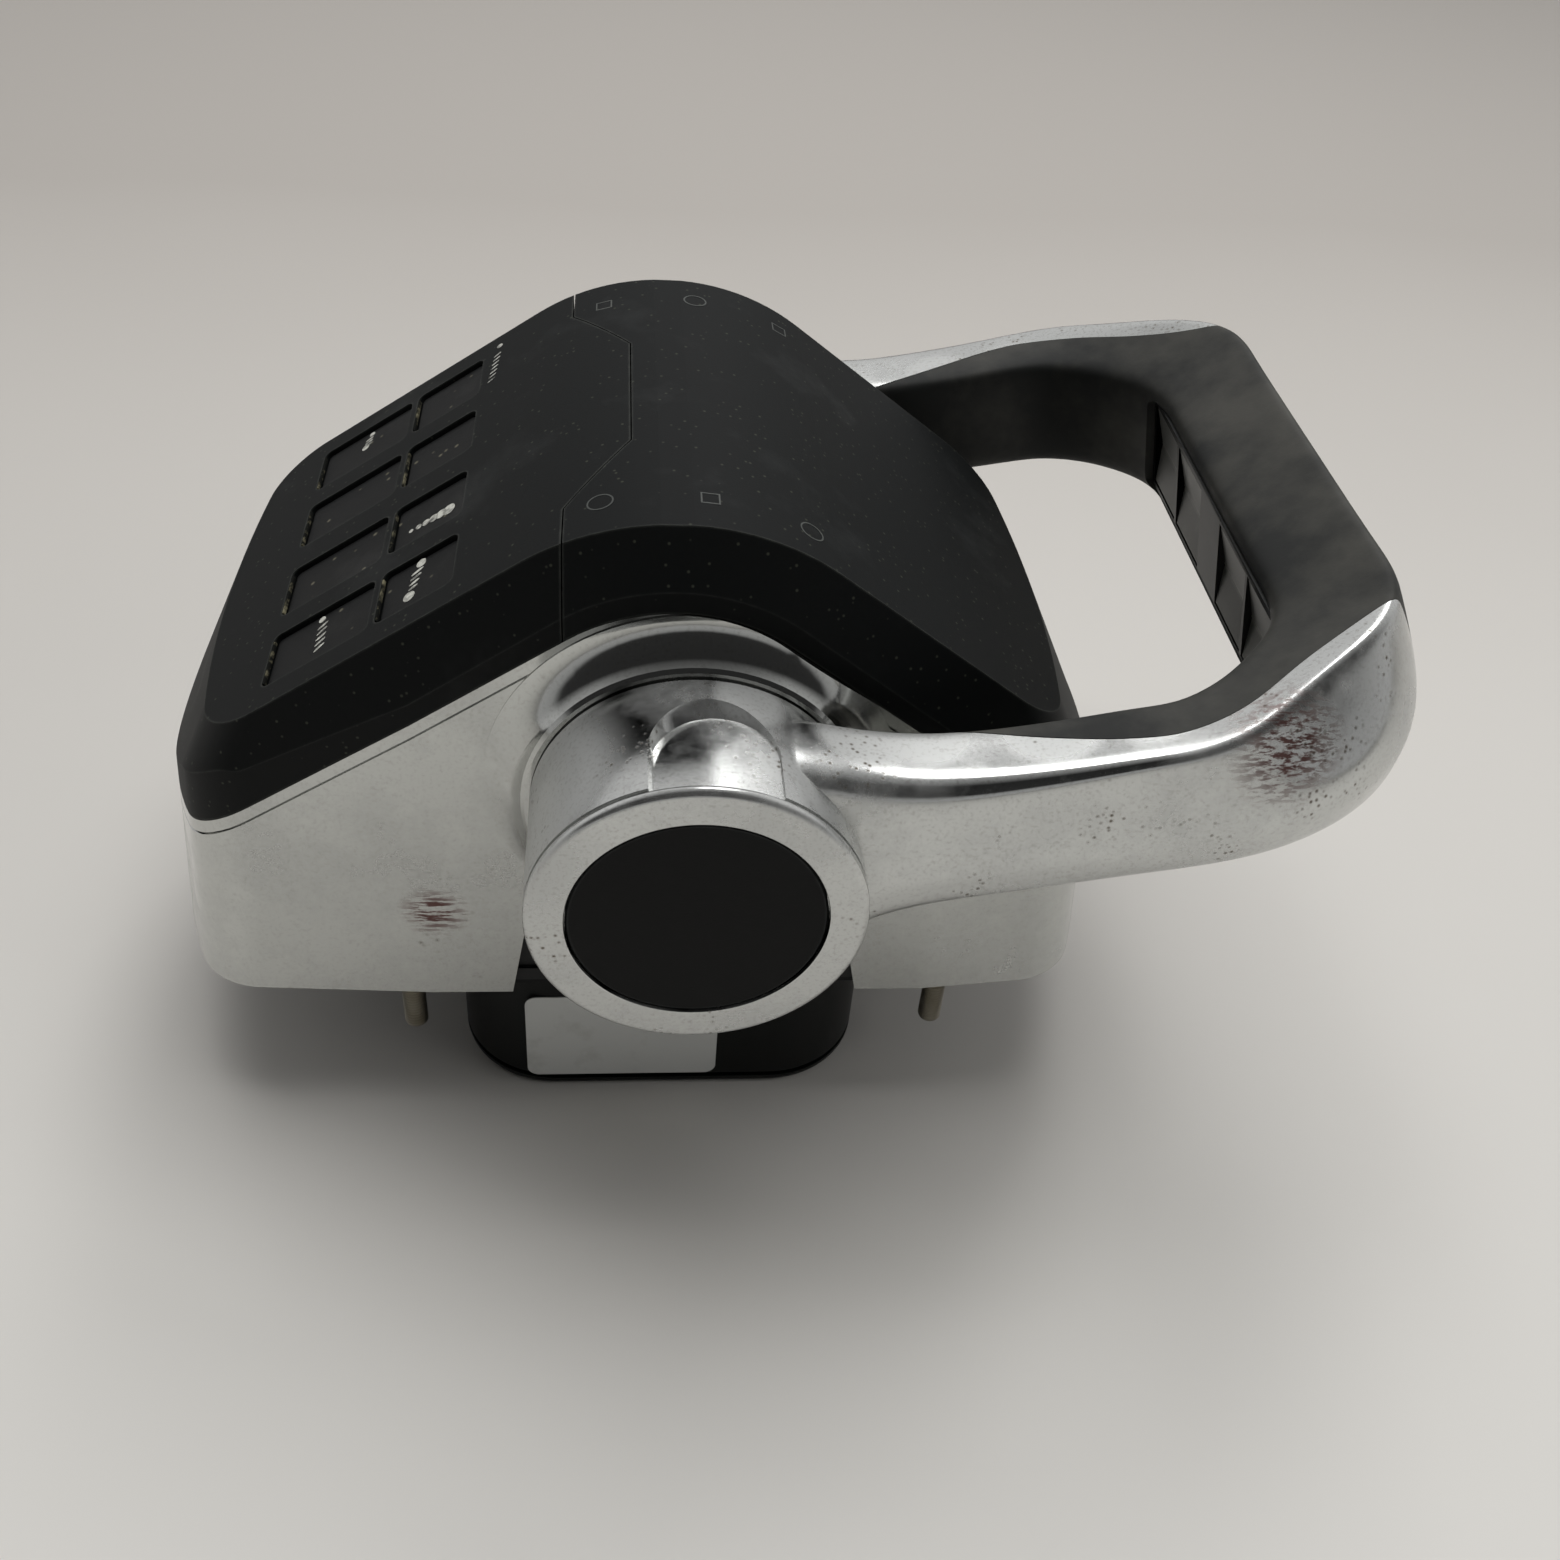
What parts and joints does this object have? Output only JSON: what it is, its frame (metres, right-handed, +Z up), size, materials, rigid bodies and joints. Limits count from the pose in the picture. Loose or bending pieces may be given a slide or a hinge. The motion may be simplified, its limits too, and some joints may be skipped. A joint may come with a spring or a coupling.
{
  "type": "boat throttle lever",
  "caption": "Dual-arm boat throttle: one swinging bail lever with a soft grip on a domed console with keypad, box and studs below the dash.",
  "frame": {"origin": "centre of the four mounting studs on the dash plane, right under the lever hub axis", "axes": "+X towards the bow (lever pushed forward at rest), +Y to port, +Z up out of the dash"},
  "size_m": [0.2901, 0.213, 0.172],
  "materials": {
    "black_cover": "fine-textured moulded plastic",
    "soft_grip": "soft-touch overmould, worn matte",
    "chrome": "polished chrome plating",
    "keys": "smooth silicone",
    "rocker": "fine satin plastic",
    "gloss_cap": "gloss moulded plastic",
    "housing": "satin moulded plastic",
    "frame": "glass-filled moulded plastic",
    "steel": "turned stainless steel",
    "bronze": "sintered bronze",
    "board": "solder-masked board",
    "silicone": "moulded silicone",
    "foam": "closed-cell foam",
    "friction": "friction lining",
    "magnet": "sintered magnet",
    "label": "plain film label",
    "casting": "die casting"
  },
  "bodies": {
    "console": {"keypad_cover": "black_cover", "hump_cover": "black_cover", "side_shell_near": "chrome", "side_shell_far": "chrome", "chassis": "frame", "lower_box": "housing", "box_lid": "housing", "box_screws": "steel", "dash_gasket": "foam", "mounting_studs": "steel", "harness_socket": "frame", "main_board": "board", "label_plate": "label", "keypad_mat": "silicone", "keypad_board": "board", "bush_near": "bronze", "bush_far": "bronze", "detent_plunger": "steel", "detent_spring": "steel", "brake_pad": "friction", "sensor_board": "board"},
    "lever": {"arm_near": "chrome", "arm_far": "chrome", "grip_cover": "soft_grip", "grip_core": "casting", "rocker_bezel": "gloss_cap", "rocker_pins": "steel", "hub_cap_near": "gloss_cap", "hub_cap_far": "gloss_cap", "hub_screw_near": "steel", "hub_screw_far": "steel", "lever_shaft": "steel", "detent_wheel": "steel", "brake_disc": "steel", "magnet_ring": "magnet"},
    "key_1_body": {"key_1": "keys"},
    "key_2_body": {"key_2": "keys"},
    "key_3_body": {"key_3": "keys"},
    "key_4_body": {"key_4": "keys"},
    "key_5_body": {"key_5": "keys"},
    "key_6_body": {"key_6": "keys"},
    "key_7_body": {"key_7": "keys"},
    "key_8_body": {"key_8": "keys"},
    "rocker_1_body": {"rocker_1": "rocker"},
    "rocker_2_body": {"rocker_2": "rocker"},
    "rocker_3_body": {"rocker_3": "rocker"},
    "rocker_4_body": {"rocker_4": "rocker"}
  },
  "joints": [
    {"name": "lever_swing", "type": "hinge", "parent": "console", "child": "lever", "pos_m": [0, 0, 0.067], "axis": [0, -1, 0], "range_deg": [0, 119]},
    {"name": "key_1_press", "type": "slide", "parent": "console", "child": "key_1_body", "axis": [0.5606, 0, -0.8281], "range_m": [0, 0.0006], "stiffness_N_per_m": 600},
    {"name": "key_2_press", "type": "slide", "parent": "console", "child": "key_2_body", "axis": [0.5606, 0, -0.8281], "range_m": [0, 0.0006], "stiffness_N_per_m": 600},
    {"name": "key_3_press", "type": "slide", "parent": "console", "child": "key_3_body", "axis": [0.5606, 0, -0.8281], "range_m": [0, 0.0006], "stiffness_N_per_m": 600},
    {"name": "key_4_press", "type": "slide", "parent": "console", "child": "key_4_body", "axis": [0.5606, 0, -0.8281], "range_m": [0, 0.0006], "stiffness_N_per_m": 600},
    {"name": "key_5_press", "type": "slide", "parent": "console", "child": "key_5_body", "axis": [0.5606, 0, -0.8281], "range_m": [0, 0.0006], "stiffness_N_per_m": 600},
    {"name": "key_6_press", "type": "slide", "parent": "console", "child": "key_6_body", "axis": [0.5606, 0, -0.8281], "range_m": [0, 0.0006], "stiffness_N_per_m": 600},
    {"name": "key_7_press", "type": "slide", "parent": "console", "child": "key_7_body", "axis": [0.5606, 0, -0.8281], "range_m": [0, 0.0006], "stiffness_N_per_m": 600},
    {"name": "key_8_press", "type": "slide", "parent": "console", "child": "key_8_body", "axis": [0.5606, 0, -0.8281], "range_m": [0, 0.0006], "stiffness_N_per_m": 600},
    {"name": "rocker_1_tilt", "type": "hinge", "parent": "lever", "child": "rocker_1_body", "pos_m": [0.1332, -0.0412, 0.09187], "axis": [0, -1, 0], "range_deg": [-5, 5], "stiffness_Nm_per_rad": 0.4},
    {"name": "rocker_2_tilt", "type": "hinge", "parent": "lever", "child": "rocker_2_body", "pos_m": [0.1332, -0.0186, 0.09187], "axis": [0, -1, 0], "range_deg": [-5, 5], "stiffness_Nm_per_rad": 0.4},
    {"name": "rocker_3_tilt", "type": "hinge", "parent": "lever", "child": "rocker_3_body", "pos_m": [0.1332, 0.0186, 0.09187], "axis": [0, -1, 0], "range_deg": [-5, 5], "stiffness_Nm_per_rad": 0.4},
    {"name": "rocker_4_tilt", "type": "hinge", "parent": "lever", "child": "rocker_4_body", "pos_m": [0.1332, 0.0412, 0.09187], "axis": [0, -1, 0], "range_deg": [-5, 5], "stiffness_Nm_per_rad": 0.4}
  ]
}
